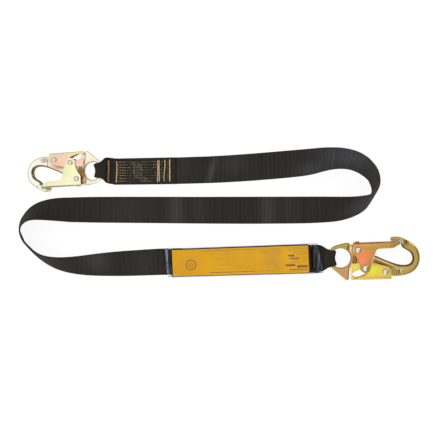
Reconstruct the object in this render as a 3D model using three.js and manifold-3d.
// Shock absorbing lanyard: webbing laid in three runs joined by a right and a left bend, a snap
// hook sewn into each end, and an energy absorber pack between the lower run and hook B.
// Millimetres, +Z up, floor at z = 0. The runs lie roughly along x, the upper run at the most +y.
// Hook A points to -x, hook B to +x.
import * as THREE from "three";
import { mergeVertices } from "three/addons/utils/BufferGeometryUtils.js";
import ManifoldModule from "manifold-3d";

const wasm = await ManifoldModule();
wasm.setup();
const { Manifold } = wasm;

// ---------------------------------------------------------------- shared dimensions
const WEB_W = 43;               // webbing width
const WEB_T = 2.6;              // webbing thickness
const HALF_T = WEB_T / 2;       // also the mid height of webbing lying on the floor
const GAP = 0.3;                // clearance between separate pieces
const SHIFT = [14.379, -4.77];  // centres the box of the whole on the origin in x and y

const HOOK_A = { eye: [-203.6, 74.6], turn: 183 };  // eye centre, turn in degrees
const HOOK_B = { eye: [193.5, -63.0], turn: 2.7 };
const HOOK_MID_Z = 11.6;        // mid plane of a hook lying on its rivet heads
const NECK = 27.0;              // eye centre to the flex line of the webbing eye
const NECK_T = 5.3;             // two layers of webbing
const NECK_Z = 2.75;            // mid height of the neck
const NECK_HALF_W = 19.5;

const PACK_TURN = 2.55;             // degrees
const PACK_ORIGIN = [-80.5, -74.6]; // left end of the pack's middle line

// ---------------------------------------------------------------- materials
const material = (settings) => new THREE.MeshStandardMaterial(settings);
const steelYellow = material({
  name: "zinc_yellow_steel", color: 0xc9a04a, metalness: 0.9, roughness: 0.38,
});
const steelBright = material({
  name: "rivet_steel", color: 0xb9bbb8, metalness: 1.0, roughness: 0.22,
});
const springSteel = material({
  name: "spring_steel", color: 0x8a7a5c, metalness: 0.9, roughness: 0.35,
});
const webBlack = material({
  name: "black_webbing", color: 0x1b1b1d, metalness: 0.0, roughness: 0.8,
});
const threadTan = material({
  name: "tan_thread", color: 0xa9814f, metalness: 0.0, roughness: 0.7,
});
const labelYellow = material({
  name: "yellow_label", color: 0xe9b32a, metalness: 0.0, roughness: 0.45,
});
const filmClear = material({
  name: "clear_film", color: 0xb9c0c8, metalness: 0.0, roughness: 0.15,
  transparent: true, opacity: 0.3,
});

// ---------------------------------------------------------------- vectors
const dot = (a, b) => a[0] * b[0] + a[1] * b[1] + a[2] * b[2];
const sub = (a, b) => [a[0] - b[0], a[1] - b[1], a[2] - b[2]];
const add = (a, b, scale = 1) => [a[0] + b[0] * scale, a[1] + b[1] * scale, a[2] + b[2] * scale];
const cross = (a, b) => [
  a[1] * b[2] - a[2] * b[1],
  a[2] * b[0] - a[0] * b[2],
  a[0] * b[1] - a[1] * b[0],
];
const middle = (a, b) => [(a[0] + b[0]) / 2, (a[1] + b[1]) / 2, (a[2] + b[2]) / 2];
const radians = (degrees) => degrees * Math.PI / 180;
const heading = (degrees) => [Math.cos(radians(degrees)), Math.sin(radians(degrees)), 0];
const leftOf = (dir) => [-dir[1], dir[0], 0];

function unit(a) {
  const length = Math.hypot(...a) || 1;
  return [a[0] / length, a[1] / length, a[2] / length];
}

function rotate([x, y], degrees) {
  const [c, s] = heading(degrees);
  return [x * c - y * s, x * s + y * c];
}

// ---------------------------------------------------------------- solids
// A closed three.js geometry as a solid that can be joined and cut.
function solidOf(geometry) {
  geometry.deleteAttribute("normal");
  geometry.deleteAttribute("uv");
  const merged = mergeVertices(geometry, 1e-4);
  const triangles = [];
  for (let i = 0; i < merged.index.count; i += 3) {
    const [a, b, c] = [0, 1, 2].map((k) => merged.index.getX(i + k));
    if (a !== b && b !== c && c !== a) triangles.push(a, b, c);
  }
  const build = () => new Manifold(new wasm.Mesh({
    numProp: 3,
    vertProperties: new Float32Array(merged.attributes.position.array),
    triVerts: new Uint32Array(triangles),
  }));
  const solid = build();
  if (solid.volume() >= 0) return solid;
  // inside out: turn every triangle over
  for (let i = 0; i < triangles.length; i += 3) {
    [triangles[i + 1], triangles[i + 2]] = [triangles[i + 2], triangles[i + 1]];
  }
  return build();
}

function addSolid(parent, name, solid, meshMaterial) {
  const { vertProperties, triVerts } = solid.getMesh();
  const geometry = new THREE.BufferGeometry();
  geometry.setAttribute("position", new THREE.BufferAttribute(new Float32Array(vertProperties), 3));
  geometry.setIndex(new THREE.BufferAttribute(new Uint32Array(triVerts), 1));
  geometry.computeVertexNormals();
  const mesh = new THREE.Mesh(geometry, meshMaterial);
  mesh.name = name;
  parent.add(mesh);
}

// Triangles (as indices into the ring) that close a flat ring.
function capTriangles(ring) {
  const origin = ring[0];
  let normal = [0, 0, 0];
  for (let j = 1; j + 1 < ring.length; j++) {
    normal = add(normal, cross(sub(ring[j], origin), sub(ring[j + 1], origin)));
  }
  normal = unit(normal);
  const axisU = unit(cross(Math.abs(normal[2]) > 0.9 ? [0, 1, 0] : [0, 0, 1], normal));
  const axisV = cross(normal, axisU);
  const flat = ring.map((p) => {
    const offset = sub(p, origin);
    return new THREE.Vector2(dot(offset, axisU), dot(offset, axisV));
  });
  return THREE.ShapeUtils.triangulateShape(flat, []);
}

// Closed solid through rings of equal length. The quads that start at the ring points listed in
// turned are split along their other diagonal.
function skin(rings, turned = []) {
  const count = rings[0].length;
  const triangles = [];
  for (let i = 0; i + 1 < rings.length; i++) {
    for (let j = 0; j < count; j++) {
      const a = i * count + j;
      const b = i * count + (j + 1) % count;
      const c = a + count;
      const d = b + count;
      if (turned.includes(j)) triangles.push(a, b, c, b, d, c);
      else triangles.push(a, b, d, a, d, c);
    }
  }
  for (const [a, b, c] of capTriangles(rings[0])) triangles.push(a, c, b);
  const last = (rings.length - 1) * count;
  for (const [a, b, c] of capTriangles(rings.at(-1))) triangles.push(last + a, last + b, last + c);
  const geometry = new THREE.BufferGeometry();
  const positions = new Float32Array(rings.flat(2));
  geometry.setAttribute("position", new THREE.BufferAttribute(positions, 3));
  geometry.setIndex(triangles);
  return solidOf(geometry);
}

// Counter-clockwise outline to a plate between -half and half, edges rounded by size bevel.
function plate(outline, half, bevel) {
  const count = outline.length;
  const inset = (distance) => outline.map((p, i) => {
    const before = outline[(i + count - 1) % count];
    const after = outline[(i + 1) % count];
    const normalIn = leftOf(unit([p[0] - before[0], p[1] - before[1], 0]));
    const normalOut = leftOf(unit([after[0] - p[0], after[1] - p[1], 0]));
    const miter = unit(add(normalIn, normalOut));
    const reach = distance / Math.max(0.5, dot(miter, normalIn));
    return [p[0] + miter[0] * reach, p[1] + miter[1] * reach];
  });
  const ring = (distance, z) => inset(distance).map(([x, y]) => [x, y, z]);
  const mid = bevel * 0.3;
  return skin([
    ring(bevel, -half), ring(mid, -half + mid), ring(0, -half + bevel),
    ring(0, half - bevel), ring(mid, half - mid), ring(bevel, half),
  ]);
}

const shapeOf = (outline) => new THREE.Shape(outline.map(([x, y]) => new THREE.Vector2(x, y)));

const extrusion = (outline, depth) =>
  new THREE.ExtrudeGeometry(shapeOf(outline), { depth, steps: 1, bevelEnabled: false });

const prism = (outline, z0, z1) => solidOf(extrusion(outline, z1 - z0).translate(0, 0, z0));

function cylinder([x, y], radius, z0, z1, segments = 24) {
  const geometry = new THREE.CylinderGeometry(radius, radius, z1 - z0, segments);
  return solidOf(geometry.rotateX(Math.PI / 2).translate(x, y, (z0 + z1) / 2));
}

// Points on an arc from angle start to end in degrees, both ends included.
function arc([x, y], radius, start, end, steps) {
  return Array.from({ length: steps + 1 }, (_, i) => {
    const [c, s] = heading(start + (end - start) * i / steps);
    return [x + radius * c, y + radius * s];
  });
}

// Outline of a flat strip that follows a 2D middle line at distance half on both sides.
function stripOutline(line, half) {
  const left = [];
  const right = [];
  line.forEach(([x, y], i) => {
    const before = line[Math.max(0, i - 1)];
    const after = line[Math.min(line.length - 1, i + 1)];
    const [dx, dy] = unit([after[0] - before[0], after[1] - before[1], 0]);
    left.push([x - dy * half, y + dx * half]);
    right.push([x + dy * half, y - dx * half]);
  });
  return [...left, ...right.reverse()];
}

// Path through numbered stations: the sections of a wire sit exactly on them.
class StationPath extends THREE.Curve {
  constructor(points) {
    super();
    this.points = points.map((p) => new THREE.Vector3(...p));
  }
  getPoint(t, target = new THREE.Vector3()) {
    const place = t * (this.points.length - 1);
    const i = Math.min(Math.floor(place), this.points.length - 2);
    return target.lerpVectors(this.points[i], this.points[i + 1], place - i);
  }
  getPointAt(u, target) {
    return this.getPoint(u, target);
  }
  getTangentAt(u, target) {
    return this.getTangent(u, target);
  }
}

// Round wire along a path of points.
function wire(path, radius, sides = 7) {
  const section = Array.from({ length: sides }, (_, k) => {
    const angle = 2 * Math.PI * k / sides;
    return [radius * Math.cos(angle), radius * Math.sin(angle)];
  });
  return solidOf(new THREE.ExtrudeGeometry(shapeOf(section), {
    steps: path.length - 1,
    extrudePath: new StationPath(path),
    bevelEnabled: false,
  }));
}

// ---------------------------------------------------------------- webbing ribbons
// Ribbon through stations { a, b, thick, tangent }: a and b are its two edges. Thickness falls
// back to WEB_T, and the tangent to the direction between the neighbouring stations.
function ribbon(stations) {
  const rings = stations.map((station, i) => {
    const { a, b, thick = WEB_T } = station;
    const before = stations[Math.max(0, i - 1)];
    const after = stations[Math.min(stations.length - 1, i + 1)];
    const tangent = station.tangent
      ?? unit(sub(middle(after.a, after.b), middle(before.a, before.b)));
    const across = unit(sub(b, a));
    const normal = unit(cross(tangent, across));
    const half = thick / 2;
    const bevel = Math.min(0.5, half * 0.5);
    const aIn = add(a, across, bevel);
    const bIn = add(b, across, -bevel);
    return [
      add(aIn, normal, -half), add(bIn, normal, -half),
      add(b, normal, -half + bevel), add(b, normal, half - bevel),
      add(bIn, normal, half), add(aIn, normal, half),
      add(a, normal, half - bevel), add(a, normal, -half + bevel),
    ];
  });
  // both faces split along the same diagonal, so a twisted length keeps its thickness
  return skin(rings, [0]);
}

// Reach and thickness of the stations that make a half round end.
const roundProfile = (thick) => [0, 30, 55, 75, 86].map((degrees) => ({
  reach: Math.sin(radians(degrees)) * thick / 2,
  thick: Math.max(0.25, thick * Math.cos(radians(degrees))),
}));

// Half round end on single webbing whose last edges are a and b, reaching along dir.
const roundEnd = ({ a, b }, dir) => roundProfile(WEB_T).map(({ reach, thick }) => (
  { a: add(a, dir, reach), b: add(b, dir, reach), thick, tangent: dir }
));

// Station across the x axis, running towards +x.
const stationAt = (x, yA, yB, z, thick) => (
  { a: [x, yA, z], b: [x, yB, z], thick, tangent: [1, 0, 0] }
);

// ---------------------------------------------------------------- snap hook
// Hook frame: eye centre at 0,0, x runs from the eye to the nose, the gate is on the +y side,
// z = 0 is the mid plane.
const EYE_R = 14.7;          // eye hole radius
const EYE_RING_R = 20.5;     // eye ring outer radius
const PLATE_HALF = 4.0;      // half thickness of the forged plate
const BOW_HALF = 5.4;        // half thickness of the bow
const GATE_IN = 6.6;         // inner half width of the gate channel
const GATE_OUT = 8.8;
const GATE_WEB_Y = 20.1;     // inside of the gate channel's closed +y side
const LEVER_IN = 4.3;        // inner half width of the lock lever channel
const LEVER_OUT = 6.3;
const LEVER_WEB_Y = -31.4;   // inside of the lever channel's closed -y side
const SHANK_R = 2.7;         // rivet shank radius
const HOLE_R = SHANK_R + GAP;
const HEAD_R = 4.25;         // rivet head radius
const HEAD_H = 2.2;          // rivet head height
const GATE_PIVOT = [25.8, 11.5];
const LOCK_PIN = [35.2, -15.8];
const LEVER_PIVOT = [64.2, -22.4];
const GATE_TRAVEL = 26;      // degrees the gate opens
const LEVER_TRAVEL = 9;      // degrees the lever is squeezed
const SLOT_R = 4.2;          // half width of the slot the lock pin rides in
const CUT = 20;              // cutting tools reach this far from the mid plane
const GATE_RECESS_Z = 2.7;   // floors of the spring recesses in the body
const LEVER_RECESS_Z = 1.5;

// All outlines below are x, y and run counter-clockwise, unless noted.
const BOW_OUTER = [  // from the -y side round the nose
  [86.7, -29.3], [95.2, -27.7], [103, -24.3], [109.2, -18.7], [113.2, -11.6],
  [114.7, -4.4], [114.4, 3.2], [111.8, 10.7], [105.2, 18.1],
];
const BOW_INNER = [  // back along the inside of the bow
  [95.7, 9.2], [101.5, 5.2], [104.4, 1.8], [104.4, -4.6], [103.6, -7.4], [102, -10.2],
  [97.7, -12.6], [91.6, -13.3], [82.8, -12.0],
];
const BOW_OUTLINE = [
  [75.0, -29.4], [79, -29.45],
  ...BOW_OUTER,
  [97.8, 23.2], [91.0, 17.6], [92.2, 12.0],
  ...BOW_INNER,
  [76.5, -9.6],
];
const BODY_OUTLINE = [
  ...arc([0, 0], EYE_RING_R, 103, 226, 16),
  [6.2, -33.6], [7.4, -34.3], [9.0, -34.2], [10.4, -33.0], [11.2, -28.0], [11.6, -22.0],
  [12.4, -15.5], [14.2, -12.2], [17.0, -11.2], [28, -10.9], [40.5, -10.9], [43.6, -13.0],
  [46.6, -20.5], [49.6, -26.2], [53, -28.0], [66, -28.8], [76, -29.5],
  ...BOW_OUTER,
  [96.4, 24.2], [91.6, 27.0], [87.7, 28.6], [84.5, 29.3], [79, 29.3],
  [75.8, 28.7], [74.4, 27.4], [74.4, 24.0], [75.3, 22.9], [88.2, 22.9], [89.1, 22.2],
  [89.2, 17.0], [90.2, 13.6],
  ...BOW_INNER,
  [71, -7.3], [59.2, -2.0], [52.2, 1.6], [44.5, 4.4], [37.6, 7.2],
  ...arc(GATE_PIVOT, 8.1, -14, 118, 9),
  [18.6, 18.4], [17.0, 19.4], [14.6, 21.6], [12.4, 22.5], [10.3, 22.7], [3.0, 21.6],
];
const GATE_OUTLINE = [
  [18.9, 22.3], [18.6, 8.6], [22.4, 2.0], [26.4, -6.8], [27.9, -13.2],
  ...arc(LOCK_PIN, 7.4, 172, 352, 10),
  [45.2, -10.8], [49.7, 2.8], [51.9, 9.6], [54.4, 12.0], [75.2, 12.6], [83.1, 16.6],
  [87.4, 18.9], [87.2, 22.3],
];
const GATE_RIB = [[21.4, 22.0], [29.4, 22.0], [28.4, 24.3], [22.6, 24.3]];
const GATE_RIB_HALF = 3.2;
const LEVER_OUTLINE = [
  [13.9, -33.5], [68.6, -33.5], [71.8, -32.0], [73.0, -28.5], [73.1, -21.8], [72.2, -17.4],
  [69.2, -15.0], [58, -11.8], [47.5, -9.0], [38, -8.4], [25.8, -8.3], [16.4, -9.2], [13.9, -10.8],
];
const SLOT_WINDOW = [   // bean shaped window round the pin's path, clockwise
  [18.4, -21.5], [23.8, -19.4], [29.8, -16.1], [31.2, -13.8], [32.9, -12.3], [35.2, -11.6],
  [37.6, -12.3], [39.1, -14.0], [39.5, -16.6], [39.2, -19.8], [38.0, -22.7], [35.6, -25.1],
  [32.5, -26.6], [25.6, -29.3], [22.4, -29.8], [19.2, -29.1], [16.8, -27.2], [15.8, -24.5],
  [16.6, -22.6],
];
const SPRING_LEG_SLOT = [[60.6, -22.4], [64.6, -22.4], [64.6, -34], [60.6, -34]];

const bore = (at, radius, segments) => cylinder(at, radius, -CUT, CUT, segments);

// Box that hollows a part into a channel, longer in x than the whole hook.
function channelCut(y0, y1, half) {
  const box = new THREE.BoxGeometry(140, y1 - y0, 2 * half);
  return solidOf(box.translate(50, (y0 + y1) / 2, 0));
}

// Centre of the lock pin in the lever's own frame, at share (0 to 1) of the opening travel.
function pinInLever(share) {
  const arm = [LOCK_PIN[0] - GATE_PIVOT[0], LOCK_PIN[1] - GATE_PIVOT[1]];
  const [x, y] = rotate(arm, -GATE_TRAVEL * share);
  const fromLever = [GATE_PIVOT[0] + x - LEVER_PIVOT[0], GATE_PIVOT[1] + y - LEVER_PIVOT[1]];
  const turned = rotate(fromLever, LEVER_TRAVEL * share);
  return [LEVER_PIVOT[0] + turned[0], LEVER_PIVOT[1] + turned[1]];
}

function slotSolid() {
  const path = [0, 1, 2, 3, 4, 5].map((i) => pinInLever(i / 5));
  return prism(stripOutline(path, SLOT_R), -CUT, CUT)
    .add(bore(path[0], SLOT_R))
    .add(bore(path.at(-1), SLOT_R))
    .add(prism(SLOT_WINDOW, -CUT, CUT));
}

function bodySolid() {
  return plate(BODY_OUTLINE, PLATE_HALF, 1.2)
    .add(plate(BOW_OUTLINE, BOW_HALF, 2.4))
    .subtract(bore([0, 0], EYE_R, 40))
    .subtract(bore(GATE_PIVOT, HOLE_R))
    .subtract(bore(LEVER_PIVOT, HOLE_R))
    // recesses for the two torsion springs, upper side only
    .subtract(cylinder(GATE_PIVOT, 6.4, GATE_RECESS_Z, CUT, 28))
    .subtract(cylinder(LEVER_PIVOT, 6.0, LEVER_RECESS_Z, CUT, 28))
    .subtract(prism(SPRING_LEG_SLOT, LEVER_RECESS_Z, CUT));
}

function gateSolid() {
  return prism(GATE_OUTLINE, -GATE_OUT, GATE_OUT)
    .subtract(channelCut(GATE_WEB_Y - 80, GATE_WEB_Y, GATE_IN))
    .add(prism(GATE_RIB, -GATE_RIB_HALF, GATE_RIB_HALF))
    .subtract(bore(GATE_PIVOT, HOLE_R))
    .subtract(bore(LOCK_PIN, HOLE_R));
}

function leverSolid() {
  return prism(LEVER_OUTLINE, -LEVER_OUT, LEVER_OUT)
    .subtract(channelCut(LEVER_WEB_Y, LEVER_WEB_Y + 80, LEVER_IN))
    .subtract(slotSolid())
    .subtract(bore(LEVER_PIVOT, HOLE_R));
}

// Shank with a domed head on both sides, over a channel of half width channelOut.
function rivetSolid([x, y], channelOut) {
  const seat = channelOut + GAP;
  const top = seat + HEAD_H;
  const upper = [   // radius, height
    [SHANK_R, seat], [HEAD_R, seat], [HEAD_R, seat + 0.5],
    [3.3, top - 0.9], [1.9, top - 0.25], [0, top],
  ];
  const lower = upper.map(([radius, z]) => [radius, -z]).reverse();
  const profile = [...lower, ...upper].map(([radius, z]) => new THREE.Vector2(radius, z));
  return solidOf(new THREE.LatheGeometry(profile, 18).rotateX(Math.PI / 2).translate(x, y, 0));
}

// Rising helix round a point, 14 steps a turn, start in degrees.
function coil([x, y], { radius, z, pitch, start, turns }) {
  const steps = Math.round(turns * 14);
  return Array.from({ length: steps + 1 }, (_, i) => {
    const [c, s] = heading(start + 360 * turns * i / steps);
    return [x + radius * c, y + radius * s, z + pitch * turns * i / steps];
  });
}

function gateSpringSolid() {
  const turns = coil(GATE_PIVOT, { radius: 4.7, z: 3.6, pitch: 1.35, start: 180, turns: 1.5 });
  const last = turns.at(-1);
  return wire([...turns, add(last, [0.6, 3.2, 0]), add(last, [1.6, 5.6, 0])], 0.55);
}

function leverSpringSolid() {
  const turns = coil(LEVER_PIVOT, { radius: 4.4, z: 2.25, pitch: 1.15, start: 0, turns: 1.0 });
  const leg = [[68.4, -24.9, 3.4], [66.4, -27.0, 3.4], [63.4, -27.6, 3.4], [62.6, -29.2, 3.4]];
  return wire([...turns, ...leg], 0.45);
}

// Webbing eye round the ring, with a short neck towards -x.
function webbingEyeSolid() {
  const low = NECK_Z - HOOK_MID_Z;   // neck mid height in the hook frame
  const neckThick = 5.0;
  const band = [   // x, z, half width
    [-22.4, low - 1.3, 14.2], [-19.5, low + 0.6, 13.6], [-16, low + 1.9, 13],
    [-13.2, low + 2.4, 11.2], [-10.4, low + 3.0, 10.4], [-8.4, low + 5.2, 9.8],
    [-7.6, -1.6, 9.8], [-7.6, 1.8, 9.8], [-8.6, 4.9, 9.8], [-11.2, 6.2, 10.4],
    [-15.5, 6.3, 12.6], [-19.6, 6.4, 13.2], [-22.2, 4.8, 13.6], [-22.5, 0.5, 13.8],
    [-22.6, low + 3.6, 14.0], [-22.7, low + 1.4, 14.2],
  ];
  const neckStart = -NECK + NECK_T / 2 + GAP;
  const neck = ribbon([
    stationAt(neckStart, -NECK_HALF_W, NECK_HALF_W, low, neckThick),
    stationAt(-21.2, -14.2, 14.2, low, neckThick),
  ]);
  return ribbon(band.map(([x, z, half]) => ({ a: [x, -half, z], b: [x, half, z] }))).add(neck);
}

function buildHook(tag, { eye, turn }) {
  const hook = new THREE.Group();
  hook.name = "snap_hook_" + tag;
  hook.position.set(...eye, HOOK_MID_Z);
  hook.rotation.z = radians(turn);
  const pieces = [
    ["hook_body", bodySolid(), steelYellow],
    ["gate", gateSolid(), steelYellow],
    ["lock_lever", leverSolid(), steelYellow],
    ["gate_pivot_rivet", rivetSolid(GATE_PIVOT, GATE_OUT), steelBright],
    ["gate_lock_pin", rivetSolid(LOCK_PIN, GATE_OUT), steelBright],
    ["lever_pivot_rivet", rivetSolid(LEVER_PIVOT, LEVER_OUT), steelBright],
    ["gate_spring", gateSpringSolid(), springSteel],
    ["lever_spring", leverSpringSolid(), springSteel],
    ["webbing_eye", webbingEyeSolid(), webBlack],
  ];
  for (const [name, solid, look] of pieces) addSolid(hook, `${name}_${tag}`, solid, look);
  return hook;
}

// ---------------------------------------------------------------- webbing runs
// Station rows: x, y of the edge on the floor, x, y of the other edge and its lift.
const RIGHT_IN = [   // upper run into the right bend
  [-93, 95.3, -93, 52.3, 0], [6, 96.9, 6, 53.9, 0], [70, 100.3, 70, 57.3, 0],
  [117, 103.3, 117, 60.6, 3], [147.6, 105.3, 146.2, 63.5, 10], [166, 106.5, 162.7, 67.1, 17],
  [181.1, 106.6, 177.5, 70.3, 22.8], [196.2, 105.6, 190.7, 71.5, 25.5],
  [211.3, 102.4, 202.2, 70.6, 28.0], [223.2, 97.8, 210.8, 68.2, 29.6],
  [233.6, 91.1, 219.4, 64.0, 31.0], [241, 83.8, 226.4, 59, 32.4],
  [247.7, 74.7, 232, 53.7, 34.2], [251.6, 64.7, 235.4, 48.2, 36.2],
  [252.4, 55.4, 238.2, 43.6, 38.6], [250.0, 47.4, 240.4, 40.2, 41.2],
];
const RIGHT_OUT = [  // right bend into the middle run
  [239.4, 29.0, 238.6, 33.2, 42.6], [235.0, 19.4, 234.6, 31.4, 41.2],
  [229.4, 10.7, 228.8, 30.4, 38.1], [220.4, 3.8, 219.8, 29.5, 34.5],
  [208.3, -2.2, 207.9, 29.0, 29.7], [191.7, -6.8, 190.8, 29.7, 22.7],
  [170.5, -9.1, 170.2, 30.2, 16.4], [139.9, -10.6, 140.1, 30.6, 9.5],
  [100, -11.2, 100, 31.0, 3.5], [54, -11.6, 54, 31.3, 0], [-27, -11.4, -27, 31.6, 0],
  [-93, -10.9, -93, 32.1, 0], [-160, -10.5, -160, 32.5, 0],
];
const LEFT_IN = [    // middle run into the left bend
  [-200, 32.6, -199.5, -10.2, 3], [-225, 32.4, -222, -9.7, 7.4],
  [-249.2, 31.8, -244, -9.3, 11.5], [-267.1, 31.3, -258.8, -7.9, 15.6],
  [-285.1, 29.5, -272.1, -6.8, 19.8], [-303.2, 24.7, -285.1, -5.6, 24.8],
  [-315.9, 18.7, -296, -5.4, 29.4], [-325.1, 10.5, -306, -6.4, 34.0],
  [-332, 1.0, -316, -9.6, 38.2], [-335.2, -8.0, -325.6, -13.6, 41.4],
];
const LEFT_OUT = [   // left bend into the lower run
  [-336.0, -29.6, -326.6, -28.0, 41.6], [-333.0, -41.4, -316.4, -38.0, 39.2],
  [-324.3, -52.8, -304.6, -48.6, 37.8], [-313.2, -62.7, -293.3, -56.6, 37.2],
  [-302.3, -71.2, -284.6, -61.2, 36.8], [-290.5, -79.0, -273.8, -64.3, 35.6],
  [-274.3, -87.0, -259.3, -66.2, 33.6], [-256.4, -92.5, -243.4, -66.2, 30.6],
  [-235, -96.1, -224.8, -64.3, 26.0], [-210.3, -98.2, -203.4, -61.3, 20.0],
  [-185.8, -98.2, -180.4, -58.6, 14.0], [-161.6, -98.0, -157.7, -56.8, 8.6],
  [-127.3, -96.8, -125.3, -54.3, 3.0], [-99, -95.2, -97.5, -52.4, 0],
];
// Flex lines of the bends, where the webbing stands upright and one piece hands over to the next.
const RIGHT_FLEX = { at: [243.6, 38.4], dir: unit([-0.62, -0.78, 0]) };
const LEFT_FLEX = { at: [-332.8, -19.6], dir: unit([-0.12, -1, 0]) };

const RUN_END_Z = HALF_T + 2.3;      // mid height of the lower run's end inside the pack
const SEWN_Z = WEB_T + GAP + HALF_T; // mid height of the sewn back layer

const rowStation = ([x, y, otherX, otherY, lift]) => (
  { a: [x, y, HALF_T], b: [otherX, otherY, lift + HALF_T] }
);
const swapEdges = ({ a, b }) => ({ a: b, b: a });
const upright = ({ at }) => ({ a: [...at, HALF_T], b: [...at, HALF_T + WEB_W] });

// Flat start of the piece that leaves a flex line.
function flexStart(flex) {
  const { a, b } = upright(flex);
  const reach = HALF_T + GAP;
  return { a: add(a, flex.dir, reach), b: add(b, flex.dir, reach), tangent: flex.dir };
}

// Stations at a hook's neck, placed along the hook's x from the neck's flex line. flow is 1 for
// a ribbon that runs towards the hook and -1 for one that leaves it.
function neckStations({ eye, turn }, flow) {
  const [x, y] = rotate([-NECK, 0], turn);
  const dir = heading(turn);
  const side = leftOf(dir);
  return (along, halfWidth, thick, lift = 0) => {
    const centre = add([eye[0] + x, eye[1] + y, NECK_Z + lift], dir, along);
    return {
      a: add(centre, side, -halfWidth),
      b: add(centre, side, halfWidth),
      thick,
      tangent: dir.map((v) => v * flow),
    };
  };
}

function neckRound(station) {
  return roundProfile(NECK_T).map(({ reach, thick }) => station(reach, NECK_HALF_W, thick));
}

// From the neck of eye A to a half round end at the right flex line.
function upperRunSolid() {
  const stub = ribbon([
    ...neckRound(neckStations(HOOK_A, -1)).reverse(),
    stationAt(-175.0, 94.8, 52.8, NECK_Z, NECK_T),
    stationAt(-172.6, 95.2, 52.4, NECK_Z, NECK_T),
  ]);
  const run = ribbon([
    stationAt(-173.0, 95.3, 52.3, HALF_T + 0.05),
    ...RIGHT_IN.map(rowStation),
    ...roundEnd(upright(RIGHT_FLEX), RIGHT_FLEX.dir),
  ]);
  return stub.add(run);
}

const sewnEndSolid = () => ribbon([
  stationAt(-172.2, 94.8, 52.8, SEWN_Z),
  stationAt(-66, 95.0, 53.0, SEWN_Z),
]);

// Rests on its -y edge in the right bend and on its +y edge going into the left one.
const middleRunSolid = () => ribbon([
  flexStart(RIGHT_FLEX),
  ...RIGHT_OUT.map(rowStation),
  ...LEFT_IN.map(rowStation).map(swapEdges),
  ...roundEnd(swapEdges(upright(LEFT_FLEX)), LEFT_FLEX.dir),
]);

// From the left flex line into the absorber pack.
function lowerRunSolid() {
  const dir = heading(PACK_TURN);
  const side = leftOf(dir);
  const packStation = (x, z, halfWidth) => {
    const centre = add([...PACK_ORIGIN, z], dir, x);
    return { a: add(centre, side, -halfWidth), b: add(centre, side, halfWidth) };
  };
  return ribbon([
    flexStart(LEFT_FLEX),
    ...LEFT_OUT.map(rowStation),
    packStation(-6, HALF_T + 0.7, 21.2),
    packStation(6, HALF_T + 1.9, 20.4),
    packStation(22, RUN_END_Z, 19.6),
  ]);
}

// Double webbing from the tear stack to the neck of eye B.
function tailSolid() {
  const station = neckStations(HOOK_B, 1);
  return ribbon([
    station(-30.5, 19.2, NECK_T, 2.3),
    station(-19, 19.2, NECK_T, 2.3),
    station(-11, 19.8, NECK_T, 1.0),
    station(-5, 19.8, NECK_T, 0.8),
    ...neckRound(station),
  ]);
}

// ---------------------------------------------------------------- absorber pack
// Pack frame: x along the pack from its left end, y = 0 the middle line, z = 0 the floor.
const PACK_L = 242;          // length of the film sleeve
const PACK_HALF_W = 45.5 / 2;
const PACK_H = 22.0;
const LABEL_START = 12.5;
const LABEL_END = 228.5;
const SLEEVE_T = 0.5;        // wall of the label and the film
const SLEEVE_R = 2.6;        // corner radius of their sections
const LABEL_HALF_W = PACK_HALF_W - 0.9;

// Rows: x, half width, bottom z, top z
const LABEL_ROWS = [
  [LABEL_START, LABEL_HALF_W, 1.0, PACK_H - 1.5],
  [LABEL_END, LABEL_HALF_W, 1.0, PACK_H - 1.5],
];
const COVER_ROWS = [
  [0, PACK_HALF_W + 1.6, 0.05, 7.2],
  [4, PACK_HALF_W + 0.8, 0, 12.0],
  [11, PACK_HALF_W, 0, PACK_H - 0.2],
  [20, PACK_HALF_W, 0, PACK_H],
  [LABEL_END - 3, PACK_HALF_W, 0, PACK_H],
  [LABEL_END + 3, PACK_HALF_W, 0, PACK_H - 1.6],
  [236, PACK_HALF_W - 0.2, 0, 13.6],
  [PACK_L, PACK_HALF_W - 0.8, 0, 8.6],
];

// Tear webbing folded back and forth in five layers.
function tearWebbingSolid() {
  const xEnds = [27, 210];
  const halfWidth = 19.7;
  const layers = 5;
  const pitch = 3.5;
  const bottomZ = 3.4;   // mid height of the lowest layer
  const line = [];       // x, z
  for (let i = 0; i < layers; i++) {
    const z = bottomZ + i * pitch;
    const [from, to] = i % 2 ? [xEnds[1], xEnds[0]] : xEnds;
    line.push([from, z], [to, z]);
    if (i + 1 === layers) break;
    const outward = i % 2 ? -1 : 1;
    for (const [x, y] of arc([0, 0], pitch / 2, -60, 60, 4)) {
      line.push([to + outward * x, z + pitch / 2 + y]);
    }
  }
  const fold = extrusion(stripOutline(line, HALF_T), 2 * halfWidth);
  return solidOf(fold.rotateX(Math.PI / 2).translate(0, halfWidth, 0));
}

// Rounded rectangle across x.
function sleeveSection(x, halfWidth, z0, z1) {
  const y = halfWidth - SLEEVE_R;
  const low = z0 + SLEEVE_R;
  const high = z1 - SLEEVE_R;
  const corners = [[y, high], [-y, high], [-y, low], [y, low]];
  return corners
    .flatMap((centre, i) => arc(centre, SLEEVE_R, 90 * i, 90 * i + 90, 3))
    .map(([sectionY, sectionZ]) => [x, sectionY, sectionZ]);
}

// Open tube through rows; its inside reaches past both ends to cut them open.
function sleeveSolid(rows) {
  const outer = rows.map((row) => sleeveSection(...row));
  const inner = rows.map(([x, halfWidth, z0, z1], i) => {
    const past = i === 0 ? -1 : i === rows.length - 1 ? 1 : 0;
    return sleeveSection(x + past, halfWidth - SLEEVE_T, z0 + SLEEVE_T, z1 - SLEEVE_T);
  });
  return skin(outer).subtract(skin(inner));
}

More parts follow.
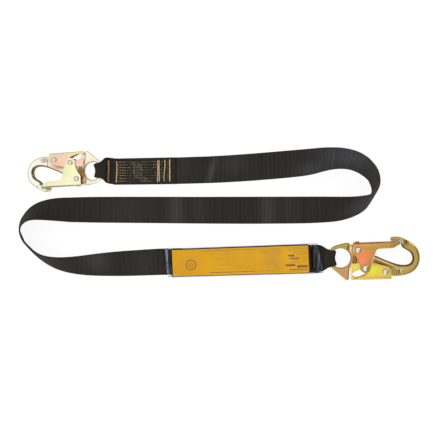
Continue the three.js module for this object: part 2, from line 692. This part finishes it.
// ---------------------------------------------------------------- stitching
const THREAD_R = 0.32;
const THREAD_SIDES = 5;
const THREAD_LIFT = 0.65;    // thread centre above the webbing it lies on
const SEWN_THREAD_Z = SEWN_Z + HALF_T + THREAD_LIFT;
const BARTACK_A_X = [-170.9, -165.3, -94.3, -84.2, -75.4];

// One bar of zigzag thread across the strap, centred on x, y.
function bartackSolid(x, y, half, z) {
  const steps = 11;
  const path = Array.from({ length: steps + 1 }, (_, i) => (
    [x + (i % 2 ? 0.75 : -0.75), y - half + 2 * half * i / steps, z]
  ));
  return wire(path, THREAD_R, THREAD_SIDES);
}

// Block of lengthwise rows between the bars: one thread running to and fro.
function stitchRowsSolid() {
  const rows = 8;
  const [x0, x1] = [-160.5, -99.5];
  const [y0, y1] = [58.4, 88.6];
  const path = [];
  for (let row = 0; row < rows; row++) {
    const y = y0 + (y1 - y0) * row / (rows - 1);
    const line = [0, 1, 2, 3, 4].map((i) => [x0 + (x1 - x0) * i / 4, y, SEWN_THREAD_Z]);
    if (row % 2) line.reverse();
    path.push(...line);
  }
  return wire(path, THREAD_R, THREAD_SIDES);
}

// ---------------------------------------------------------------- assembly
function buildPack() {
  const pack = new THREE.Group();
  pack.name = "absorber_pack";
  pack.position.set(...PACK_ORIGIN, 0);
  pack.rotation.z = radians(PACK_TURN);
  addSolid(pack, "tear_webbing", tearWebbingSolid(), webBlack);
  addSolid(pack, "pack_label", sleeveSolid(LABEL_ROWS), labelYellow);
  addSolid(pack, "clear_cover", sleeveSolid(COVER_ROWS), filmClear);
  const tailThreadZ = NECK_Z + 1.1 + NECK_T / 2 + THREAD_LIFT;
  const runThreadZ = RUN_END_Z + HALF_T + THREAD_LIFT;
  addSolid(pack, "bartack_b1", bartackSolid(235.4, -0.6, 15, tailThreadZ), threadTan);
  addSolid(pack, "bartack_c1", bartackSolid(17.0, 0, 15, runThreadZ), threadTan);
  return pack;
}

const group = new THREE.Group();
group.name = "shock_absorbing_lanyard";
group.add(buildHook("a", HOOK_A), buildHook("b", HOOK_B));
addSolid(group, "webbing_upper_run", upperRunSolid(), webBlack);
addSolid(group, "webbing_sewn_end_a", sewnEndSolid(), webBlack);
addSolid(group, "webbing_middle_run", middleRunSolid(), webBlack);
addSolid(group, "webbing_lower_run", lowerRunSolid(), webBlack);
group.add(buildPack());
addSolid(group, "webbing_tail_b", tailSolid(), webBlack);
BARTACK_A_X.forEach((x, i) => {
  addSolid(group, `bartack_a${i + 1}`, bartackSolid(x, 73.6, 17.0, SEWN_THREAD_Z), threadTan);
});
addSolid(group, "stitch_rows_a", stitchRowsSolid(), threadTan);

const root = new THREE.Group();
root.name = "lanyard";
root.position.set(...SHIFT, 0);
root.add(group);
export default root;
